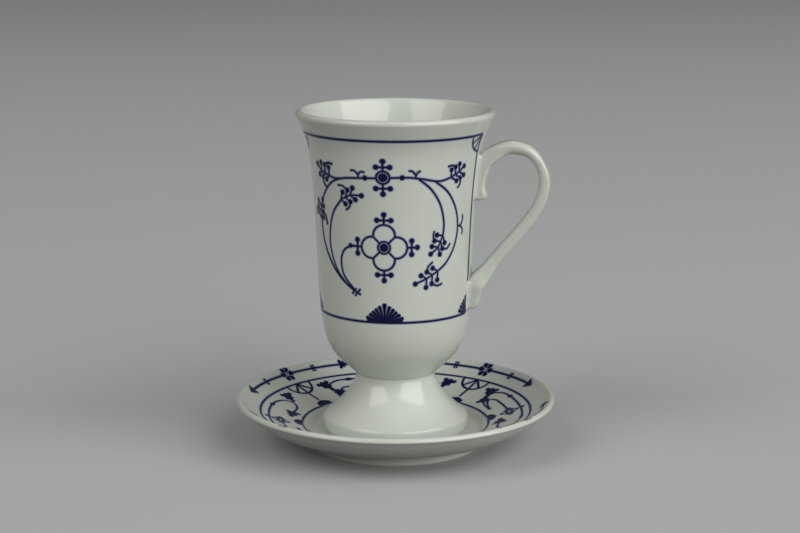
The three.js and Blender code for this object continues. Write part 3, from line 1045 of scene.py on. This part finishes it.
def paint_flower(brush):
    """Flower of four ring petals, with a tassel on each. The left one reaches out to its vine."""
    centre = np.array([0.3, 93.95])
    ring = 2.55
    heart = 1.9
    petal = 4.6
    petal_out = 5.2
    notch = 4.55
    sweep = math.pi - math.atan2(notch, petal_out - notch)
    brush.ring(centre, ring, LINE)
    brush.ball(centre, heart)
    for quarter in range(4):
        angle = quarter * math.pi / 2
        brush.ring(centre + direction(angle) * petal_out, petal, LINE, angle - sweep, angle + sweep)
        gap = direction(angle + math.pi / 4)
        brush.stroke([centre + gap * ring, centre + gap * notch * math.sqrt(2)], THIN_LINE)
        left = quarter == 2
        tip = 15.2 if left else 14.1
        tip_ball = 1.05 if left else TASSEL_BALL
        tassel(brush, centre, angle, neck=9.8, bar=11.7, bar_half=2.9, tip=tip, tip_ball=tip_ball)


def paint_rim_garland(brush):
    """Line along the saucer's rim: rosette in its middle, double ticks across it and a leaf at each end."""
    straight_on = math.pi / 2
    centre = np.array([0.0, GARLAND_RADIUS])
    ring = 1.3
    petals_out = 2.55
    brush.ring(centre, ring, width=0.7)
    brush.ball(centre, radius=0.4)
    for petal in range(6):
        brush.ball(centre + petals_out * direction(petal * math.pi / 3), radius=1.2)
    near = ring / GARLAND_RADIUS
    far = math.radians(28)
    brush.ring((0, 0), GARLAND_RADIUS, LINE, straight_on - far, straight_on - near)
    brush.ring((0, 0), GARLAND_RADIUS, LINE, straight_on + near, straight_on + far)
    tick_half = 1.7
    leaf_corners = ((26.3, 1.7), (29.5, 0.0), (26.3, -1.7))
    for sign in (-1, 1):
        for turn in (13.45, 14.45):
            out = direction(straight_on + sign * math.radians(turn))
            brush.stroke([out * (GARLAND_RADIUS - tick_half), out * (GARLAND_RADIUS + tick_half)])
        corners = []
        for turn, reach in leaf_corners:
            out = direction(straight_on + sign * math.radians(turn))
            corners.append((GARLAND_RADIUS + sign * reach) * out)
        brush.leaf(corners, size=0.75)


def paint_half_wheel(brush):
    """Half a wheel that hangs from the outer ring line, on a stem that points to the well."""
    hub = np.array([0.0, OUTER_RING])
    radius = 7.1
    stem = 6.8
    brush.ring(hub, radius, WHEEL_LINE, math.pi, 2 * math.pi)
    for turn in (-131, -90, -49):
        brush.stroke([hub, hub + radius * direction(math.radians(turn))], WHEEL_LINE)
    brush.stroke([(0, OUTER_RING - radius), (0, OUTER_RING - radius - stem)], WHEEL_LINE)


def paint_scroll(brush, flower_aside):
    """Scroll between two half wheels: vine, leaves, and a small flower on a hooked stem."""
    brush.stroke([
        (-22.6, 42.6), (-25.6, 44.6), (-26.6, 47.4), (-23.6, 51.2), (-18, 53.7), (-10, 55.3), (-2, 55.9),
        (6, 55.6), (15, 53.9), (20.5, 51.4), (24, 47.6), (23.3, 44.2), (20, 42.8), (16, 43.4), (12.5, 44.6),
    ])
    brush.stroke([
        (-21.6, 43.6), (-20.7, 46.2), (-18.7, 47.7), (-15, 48.7), (-10, 49.8), (flower_aside - 3.4, 50.6),
    ])
    brush.stroke([(-20.8, 43.9), (-15.5, 43.3), (-11.6, 43.6)], THIN_LINE)
    brush.stroke([(-21.5, 42), (-16.5, 42.2), (-11.6, 43.4)], THIN_LINE)
    brush.ball((-11.4, 43.5), radius=0.9)
    brush.leaf([(-28.0, 49.8), (-32.6, 45.3), (-25.0, 44.0)])
    brush.leaf([(28.0, 49.8), (25.0, 44.0), (32.4, 45.7)])
    brush.leaf([(-25.4, 43.8), (-22.2, 39.4), (-20.2, 44.2)])
    brush.leaf([(5.6, 46.2), (11.9, 41.9), (12.9, 47.4)])
    brush.swell((-19.8, 53.0), (-15.0, 54.6), width=2.0, belly=0.5)
    brush.swell((17.2, 53.1), (12.4, 54.8), width=2.0, belly=0.5)
    flower = np.array([flower_aside, 50.9])
    petal_reach = np.array([4.2, 1.4])
    bar_half = np.array([1.3, 0.0])
    up = np.array([0.0, 1.0])
    brush.ring(flower, radius=1.3, width=1.0)
    for petal in range(6):
        brush.ball(flower + petal_reach * direction(petal * math.pi / 3), radius=1.2)
    for height in (-3.4, 3.2, 6.0):
        bar = flower + up * height
        brush.stroke([bar - bar_half, bar + bar_half], width=1.6)
    for low, high in ((-3.8, -1.5), (1.5, 6.8)):
        brush.stroke([flower + up * low, flower + up * high])


def paint_bud(brush):
    """Spade-shaped bud that stands on the inner ring line."""
    foot = 41.0
    tall = 4.2
    widest = 4.1
    start = 0.22
    fullness = 0.85
    share = np.linspace(0.0, 1.0, BALL_STEPS)
    half = widest * np.sin(math.pi * (start + (1.0 - start) * share)) ** fullness
    height = foot + tall * share
    right = np.column_stack([half, height])
    left = np.column_stack([-half, height])[-2::-1]
    brush.patch(np.vstack([right, left]))


cup_brush = Brush(None)
for facing in PANEL_FACINGS:
    cup_brush.surface = panel_surface(facing)
    for paint in (paint_frame, paint_middle_fan, paint_rosette, paint_vines, paint_sprays, paint_flower):
        paint(cup_brush)
cup_brush.finish("cup_decoration", "cup")

saucer_brush = Brush(saucer_surface(0.0))
for ring_radius in (INNER_RING, OUTER_RING):
    saucer_brush.ring((0, 0), ring_radius)
for quarter in range(4):
    wheel_facing = WHEEL_FACING + quarter * math.pi / 2
    saucer_brush.surface = saucer_surface(wheel_facing + math.radians(GARLAND_TURNS[quarter]))
    paint_rim_garland(saucer_brush)
    saucer_brush.surface = saucer_surface(wheel_facing)
    paint_half_wheel(saucer_brush)
    paint_bud(saucer_brush)
    saucer_brush.surface = saucer_surface(wheel_facing - math.pi / 4)
    paint_scroll(saucer_brush, FLOWER_ASIDES[quarter])
    paint_bud(saucer_brush)
saucer_brush.finish("saucer_decoration", "saucer")


# Floor, light and camera
CUP_MIDDLE = (BOWL_BOX[0] + BOWL_BOX[1]) / 2
LAMP_AWAY = 5.0
FLOOR_HALF = 6.0
FLOOR_BOUNCE = (0.115, 0.115, 0.115)
FLOOR_SEEN = (0.55, 0.55, 0.55)
SKY_LEVEL = 0.135


def seen_rays(nodes, links):
    """1 where the floor is seen, directly, in a mirror or through glass, and 0 where it only gives light."""
    path = nodes.new("ShaderNodeLightPath")
    seen = path.outputs["Is Camera Ray"]
    for kind in ("Is Glossy Ray", "Is Transmission Ray"):
        either = nodes.new("ShaderNodeMath")
        either.operation = "MAXIMUM"
        links.new(seen, either.inputs[0])
        links.new(path.outputs[kind], either.inputs[1])
        seen = either.outputs["Value"]
    return seen


def make_floor():
    """Plain pale floor, which throws less light back than its colour as seen."""
    mesh = bpy.data.meshes.new("floor")
    corners = [(FLOOR_HALF * x, FLOOR_HALF * y, 0.0) for x, y in ((-1, -1), (1, -1), (1, 1), (-1, 1))]
    mesh.from_pydata(corners, [], [(0, 1, 2, 3)])
    material = bpy.data.materials.new("floor")
    material.use_nodes = True
    nodes = material.node_tree.nodes
    links = material.node_tree.links
    shader = nodes["Principled BSDF"]
    shader.inputs["Roughness"].default_value = 0.9
    shader.inputs["Specular IOR Level"].default_value = 0.1
    seen = seen_rays(nodes, links)
    shade = nodes.new("ShaderNodeMix")
    shade.data_type = "RGBA"
    shade.inputs["A"].default_value = (*FLOOR_BOUNCE, 1.0)
    shade.inputs["B"].default_value = (*FLOOR_SEEN, 1.0)
    links.new(seen, shade.inputs["Factor"])
    links.new(shade.outputs["Result"], shader.inputs["Base Color"])
    mesh.materials.append(material)
    floor = bpy.data.objects.new("floor", mesh)
    bpy.context.scene.collection.objects.link(floor)


def make_softbox(name, azimuth, elevation, size, power):
    """Large soft light. Its azimuth counts in degrees from straight in front towards the handle."""
    azimuth = math.radians(azimuth)
    elevation = math.radians(elevation)
    lamp = bpy.data.lights.new(name, "AREA")
    lamp.shape = "RECTANGLE"
    lamp.size = size[0]
    lamp.size_y = size[1]
    lamp.energy = power
    box = bpy.data.objects.new(name, lamp)
    level = math.cos(elevation)
    outward = Vector((level * math.sin(azimuth), -level * math.cos(azimuth), math.sin(elevation)))
    box.location = CUP_MIDDLE + outward * LAMP_AWAY
    box.rotation_euler = outward.to_track_quat("Z", "Y").to_euler()
    bpy.context.scene.collection.objects.link(box)


def make_camera():
    """Camera at the viewing angle of the picture."""
    data = bpy.data.cameras.new("camera")
    data.sensor_width = SENSOR_WIDTH
    data.lens = PICTURE_FOCUS / PICTURE_WIDTH * SENSOR_WIDTH
    data.clip_start = 0.05
    camera = bpy.data.objects.new("camera", data)
    camera.location = (
        CAMERA_AWAY * MM * math.sin(CAMERA_TURN),
        -CAMERA_AWAY * MM * math.cos(CAMERA_TURN),
        CAMERA_HEIGHT * MM,
    )
    camera.rotation_euler = (math.pi / 2 - CAMERA_DIP, 0.0, CAMERA_TURN - CAMERA_ASIDE)
    bpy.context.scene.collection.objects.link(camera)
    bpy.context.scene.camera = camera


def make_world():
    """Even sky that fills the shadows a little."""
    world = bpy.data.worlds.new("studio")
    world.use_nodes = True
    sky = world.node_tree.nodes["Background"]
    sky.inputs["Color"].default_value = (1.0, 1.0, 1.0, 1.0)
    sky.inputs["Strength"].default_value = SKY_LEVEL
    bpy.context.scene.world = world


make_floor()
make_softbox("left_softbox", azimuth=-43, elevation=37, size=(3.4, 3.4), power=87.0)
make_softbox("right_softbox", azimuth=57, elevation=27, size=(5.6, 5.0), power=260.0)
make_camera()
make_world()
bpy.context.scene.view_settings.view_transform = "Standard"
